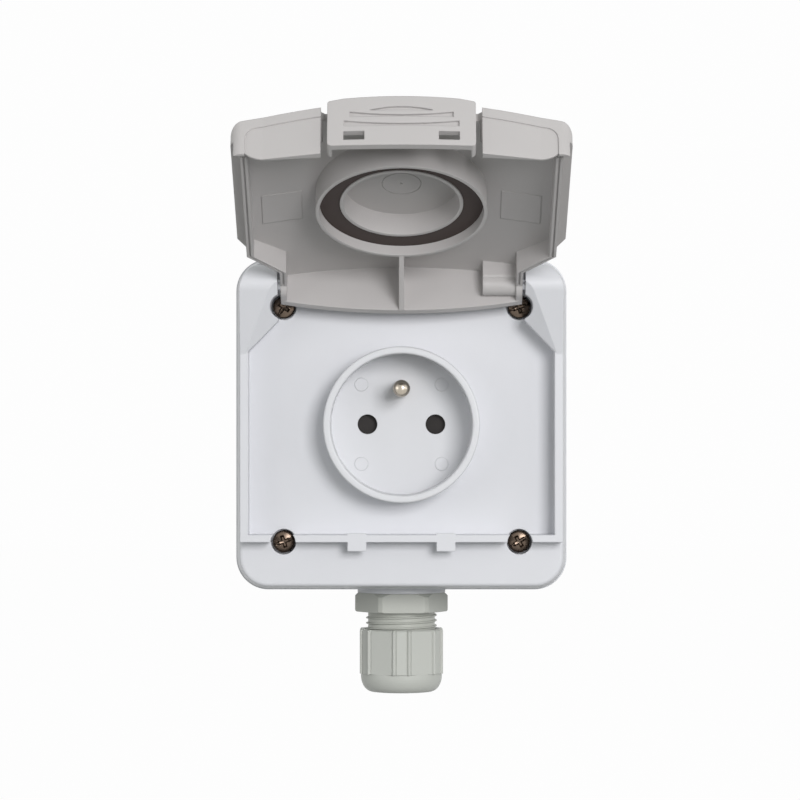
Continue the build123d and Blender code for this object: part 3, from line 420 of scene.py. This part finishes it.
screw_build = bmesh.new()
top_point = screw_build.verts.new((0, -(head_height(0) - head_sink(0, 0)), 0))
rings = []
for ring in range(1, head_rings + 1):
    radius = screw_head_radius * ring / head_rings
    around = []
    for angle in circle(head_sectors):
        x = radius * math.cos(angle)
        z = radius * math.sin(angle)
        height = max(recess_floor, head_height(radius) - head_sink(x, z))
        around.append(screw_build.verts.new((x, -height, z)))
    rings.append(around)
for radius, y in (
    (screw_head_radius, 0.0),
    (screw_shank_radius, 0.0),
    (screw_shank_radius, screw_length - screw_point),
    (screw_point_radius, screw_length),
):
    around = []
    for angle in circle(head_sectors):
        around.append(screw_build.verts.new((radius * math.cos(angle), y, radius * math.sin(angle))))
    rings.append(around)
end_point = screw_build.verts.new((0, screw_length, 0))
for sector in range(head_sectors):
    after = (sector + 1) % head_sectors
    screw_build.faces.new((top_point, rings[0][sector], rings[0][after]))
    screw_build.faces.new((end_point, rings[-1][after], rings[-1][sector]))
    for inner, outer in zip(rings, rings[1:]):
        screw_build.faces.new((inner[sector], outer[sector], outer[after], inner[after]))

bronze = metal("bronze_plating", linear(104, 91, 80), roughness=0.20, wear_scale=900.0)
screws = at_four_places(
    "cross_screws",
    closed_mesh("screw_pattern", screw_build),
    bronze,
    screw_spacing_x,
    screw_spacing_z,
    screw_seat,
    seed=3,
)
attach(screws, "housing")
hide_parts("cover_screws")
dress(black_rubber, "screw_seals")

# The plug well is a moulded cup with a collar that stands through the cover. Its floor has the two
# pin holes and, faintly, the round marks of the four pins that pushed it out of its mould.
well_plastic = moulded("well_plastic", linear(218, 219, 222), roughness=0.34, grain=0.30, edge=0.0004)
dress(well_plastic, "socket_well")

mark_spacing_x = 0.0224
mark_spacing_z = 0.0222
mark_depth = -0.0393
mark_radius = 0.00193
mark_height = 0.00007
mark_bevel = 0.00006
mark_sink = 0.00005
mark_sectors = 40


def skin(build, rings, closed=False, smooth=False):
    """Quads from each ring of vertices to the next, and from the last to the first where closed."""
    following = rings[1:] + rings[:1] if closed else rings[1:]
    for lower, upper in zip(rings, following):
        for corner in range(len(lower)):
            after = (corner + 1) % len(lower)
            face = build.faces.new((lower[corner], lower[after], upper[after], upper[corner]))
            face.smooth = smooth


mark_build = bmesh.new()
rings = []
for radius, height in (
    (mark_radius, -mark_sink),
    (mark_radius, mark_height - mark_bevel),
    (mark_radius - mark_bevel, mark_height),
):
    around = []
    for angle in circle(mark_sectors):
        around.append(mark_build.verts.new((radius * math.cos(angle), -height, radius * math.sin(angle))))
    rings.append(around)
mark_build.faces.new(rings[0])
mark_build.faces.new(rings[-1])
skin(mark_build, rings)
marks = at_four_places(
    "ejector_marks",
    closed_mesh("mark_pattern", mark_build),
    well_plastic,
    mark_spacing_x,
    mark_spacing_z,
    mark_depth,
    seed=1,
)
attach(marks, "housing")

# The contact carrier holds the contacts behind the well, with a plate over its back. Both are
# moulded in off-white polyamide, and two zinc-plated screws hold the carrier to the well.
inner_plastic = moulded("inner_plastic", linear(214, 210, 198), roughness=0.50, grain=0.30, edge=0.0002)
dress(inner_plastic, "contact_carrier", "carrier_back_plate")
zinc = metal("zinc_plating", linear(196, 198, 202), roughness=0.28, wear_scale=700.0)
dress(zinc, "carrier_screws")

# The contacts and the earth strap are stamped and bent from brass sheet, each with its own
# zinc-plated terminal screw.
brass = metal("contact_brass", linear(214, 184, 120), roughness=0.25, wear_scale=500.0)
dress(brass, "live_contact", "neutral_contact", "earth_strap")
dress(zinc, "terminal_screws")

# The earth pin is turned from brass and nickel-plated, with a rounded tip. It stands out of the
# well's floor and is riveted to its strap behind it.
nickel = metal("nickel_plating", linear(186, 177, 163), roughness=0.16, wear_scale=600.0)
dress(nickel, "earth_pin")

# The shutter is a moulded plate that slides down behind the pin holes, pressed up by a wavy
# strip of zinc-plated spring steel. Its near-black colour is painted shade, which darkens the pin
# holes in front of it.
# Painted shade: the plate's near-black colour stands for the shade inside the pin holes.
shutter_plastic = moulded("shutter_plastic", linear(20, 13, 10), roughness=0.65, grain=0.30, edge=0.0002)
dress(shutter_plastic, "shutter")
dress(zinc, "shutter_spring")

# The two hinge pins are short rods of zinc-plated steel. They are pressed into the cover's ears,
# and the lid turns on them.
dress(zinc, "hinge_pins")

# The lid is one moulding in a warm mid grey, with wings, grip tongue, rib, bracket and collar.
# Inside, its mould left a round gate mark in the cup and a shallow step on each side.
lid_plastic = moulded("lid_plastic", linear(190, 187, 186), roughness=0.42, grain=0.45, edge=0.0004)
dress(lid_plastic, "lid_shell")

open_angle = math.radians(118.8)
hinge_y = -0.052
hinge_z = 0.0385
lid_place = Matrix(
    (
        (1, 0, 0, 0),
        (0, -math.sin(open_angle), math.cos(open_angle), hinge_y),
        (0, -math.cos(open_angle), -math.sin(open_angle), hinge_z),
        (0, 0, 0, 1),
    )
)
cup_reach = 0.0385
cup_floor = -0.0088
gate_radius = 0.0052
gate_half_width = 0.00010
gate_height = 0.00010
gate_shoulder = 0.6
gate_sectors = 72
nub_radius = 0.00035
nub_height = 0.00025
step_inner_x = 0.0267
step_outer_x = 0.0375
step_near = 0.0258
step_far = 0.0393
step_above = -0.0020
step_columns = 8
step_height = 0.00012
step_sink = 0.00005


def one_piece(name, build, material):
    """Object made of the finished bmesh, in one material."""
    piece = bpy.data.objects.new(name, closed_mesh(name, build))
    bpy.context.scene.collection.objects.link(piece)
    piece.data.materials.append(material)
    return piece


gate_build = bmesh.new()
for inner_radius, outer_radius, height in (
    (gate_radius - gate_half_width, gate_radius + gate_half_width, gate_height),
    (0.0, nub_radius, nub_height),
):
    shoulder = gate_shoulder * height
    middle = (inner_radius + outer_radius) / 2
    outline = [(outer_radius, -step_sink), (outer_radius, shoulder), (middle, height)]
    if inner_radius > 0:
        outline += [(inner_radius, shoulder), (inner_radius, -step_sink)]
    rings = []
    for radius, rise in outline:
        around = []
        for angle in circle(gate_sectors):
            point = (radius * math.cos(angle), cup_reach + radius * math.sin(angle), cup_floor + rise)
            around.append(gate_build.verts.new(lid_place @ Vector(point)))
        rings.append(around)
    skin(gate_build, rings, closed=inner_radius > 0)
    if inner_radius == 0:
        gate_build.faces.new(rings[0])
        gate_build.faces.new(rings[-1])
lid_surface = BVHTree.FromObject(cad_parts["lid_shell"], bpy.context.evaluated_depsgraph_get())
into_lid = lid_place.to_3x3() @ Vector((0, 0, -1))
for side in (-1, 1):
    rings = []
    for column in range(step_columns + 1):
        x = step_inner_x + (step_outer_x - step_inner_x) * column / step_columns
        around = []
        for reach, rise in (
            (step_near, -step_sink),
            (step_far, -step_sink),
            (step_far, step_height),
            (step_near, step_height),
        ):
            above = lid_place @ Vector((side * x, reach, step_above))
            seat = lid_surface.ray_cast(above, into_lid)[0]
            around.append(gate_build.verts.new(seat - into_lid * rise))
        rings.append(around)
    gate_build.faces.new(rings[0])
    gate_build.faces.new(rings[-1])
    skin(gate_build, rings)
lid_marks = one_piece("lid_mould_marks", gate_build, lid_plastic)
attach(lid_marks, "lid")

# The lid's gasket is a flat ring of dark brown rubber, pushed between the collar and the inner
# ring, which presses on the well's rim when the lid is shut.
gasket_rubber = rubber("gasket_rubber", linear(57, 47, 44), roughness=0.66)
dress(gasket_rubber, "lid_gasket")

# The gland body is moulded polyamide in a third grey: a hexagon and a thread with a rounded crest.
# A rubber washer seals it on the box and a locknut holds it from inside.
gland_plastic = moulded("gland_plastic", linear(184, 186, 179), roughness=0.40, grain=0.30, edge=0.0003)
dress(gland_plastic, "gland_body", "gland_locknut")
dress(black_rubber, "gland_washer")

gland_y = -0.019
thread_radius = 0.0095
thread_height = 0.00062
thread_half = 0.00032
thread_pitch = 0.0015
thread_top = -0.0538
thread_turns = 6.25
thread_start = math.radians(200)
thread_sectors = 56
thread_profile = 12
thread_runout = 0.35
thread_end_rise = 0.1

thread_build = bmesh.new()
rings = []
for step in range(int(thread_turns * thread_sectors) + 1):
    turn = step / thread_sectors
    angle = 2 * math.pi * turn + thread_start
    to_end = min(turn, thread_turns - turn)
    rise = min(1.0, to_end / thread_runout + thread_end_rise)
    around = []
    for lean in circle(thread_profile):
        radius = thread_radius + rise * thread_height * math.cos(lean)
        height = thread_top - thread_pitch * turn + thread_half * math.sin(lean)
        point = (radius * math.cos(angle), gland_y - radius * math.sin(angle), height)
        around.append(thread_build.verts.new(point))
    rings.append(around)
thread_build.faces.new(rings[0])
thread_build.faces.new(rings[-1])
skin(thread_build, rings, smooth=True)
thread = one_piece("gland_thread", thread_build, gland_plastic)
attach(thread, "housing")

# The gland's sleeve is a ring of soft black rubber inside the gland, squeezed round the cable as
# the dome nut rises.
dress(black_rubber, "gland_seal_sleeve")

# The dome nut is moulded in the same polyamide as the gland body. Its colour is painted a shade
# lighter than the body's, as painted light on the nut, which hangs below the box's shade. It has six
# wide and six narrow flats with a ridge on each corner for the fingers, which end at a ledge above
# its round end.
# Painted light: a lighter copy of the gland body's grey, standing for the light on the nut.
nut_plastic_painted_light = moulded("nut_plastic_painted_light", linear(194, 196, 190), roughness=0.38, grain=0.30, edge=0.0002)

nut_top = -0.0583
nut_low = -0.07619
nut_ledge = -0.0709
nut_corner_radius = 0.01215
nut_narrow_half = math.radians(10.3)
nut_repeats = 6
nut_round_radius = 0.01155
nut_round_start = -0.0716
nut_end_radius = 0.0084
nut_end_steps = 10
nut_chamfer = 0.0004
nut_bore = 0.01015
nut_shoulder = -0.0687
nut_room = 0.0085
nut_end_wall = -0.0747
nut_hole = 0.0066
ridge_half = 0.00042
ridge_height = 0.00040
groove_reach = 0.00070
groove_depth = 0.00018
nut_sectors = 720


def nut_side(angle):
    """Outer radius of the nut's gripped part: flats, with a ridge and two fine grooves at each corner."""
    period = 2 * math.pi / nut_repeats
    off = abs((angle + period / 2) % period - period / 2)
    if off <= nut_narrow_half:
        flat = nut_corner_radius * math.cos(nut_narrow_half) / math.cos(off)
    else:
        wide_half = period / 2 - nut_narrow_half
        flat = nut_corner_radius * math.cos(wide_half) / math.cos(period / 2 - off)
    away = abs(off - nut_narrow_half) * nut_corner_radius
    if away < ridge_half:
        return flat + ridge_height * math.sqrt(1 - (away / ridge_half) ** 2)
    if away < groove_reach:
        return flat - groove_depth
    return flat


nut_sides = [nut_side(angle) for angle in circle(nut_sectors)]
nut_rows = [
    (nut_top, [side - nut_chamfer for side in nut_sides]),
    (nut_top - nut_chamfer, nut_sides),
    (nut_ledge, nut_sides),
    (nut_ledge, [nut_round_radius] * nut_sectors),
]
for step in range(nut_end_steps + 1):
    lean = math.pi / 2 * step / nut_end_steps
    radius = nut_end_radius + (nut_round_radius - nut_end_radius) * math.cos(lean)
    height = nut_round_start + (nut_low - nut_round_start) * math.sin(lean)
    nut_rows.append((height, [radius] * nut_sectors))
for height, radius in (
    (nut_low, nut_hole + nut_chamfer),
    (nut_low + nut_chamfer, nut_hole),
    (nut_end_wall, nut_hole),
    (nut_end_wall, nut_room),
    (nut_shoulder, nut_room),
    (nut_shoulder, nut_bore),
    (nut_top - nut_chamfer, nut_bore),
    (nut_top, nut_bore + nut_chamfer),
):
    nut_rows.append((height, [radius] * nut_sectors))
nut_build = bmesh.new()
rings = []
for height, radii in nut_rows:
    around = []
    for angle, radius in zip(circle(nut_sectors), radii):
        point = (radius * math.sin(angle), gland_y - radius * math.cos(angle), height)
        around.append(nut_build.verts.new(point))
    rings.append(around)
skin(nut_build, rings, closed=True)
nut = one_piece("ridged_dome_nut", nut_build, nut_plastic_painted_light)
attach(nut, "dome_nut")
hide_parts("dome_nut")
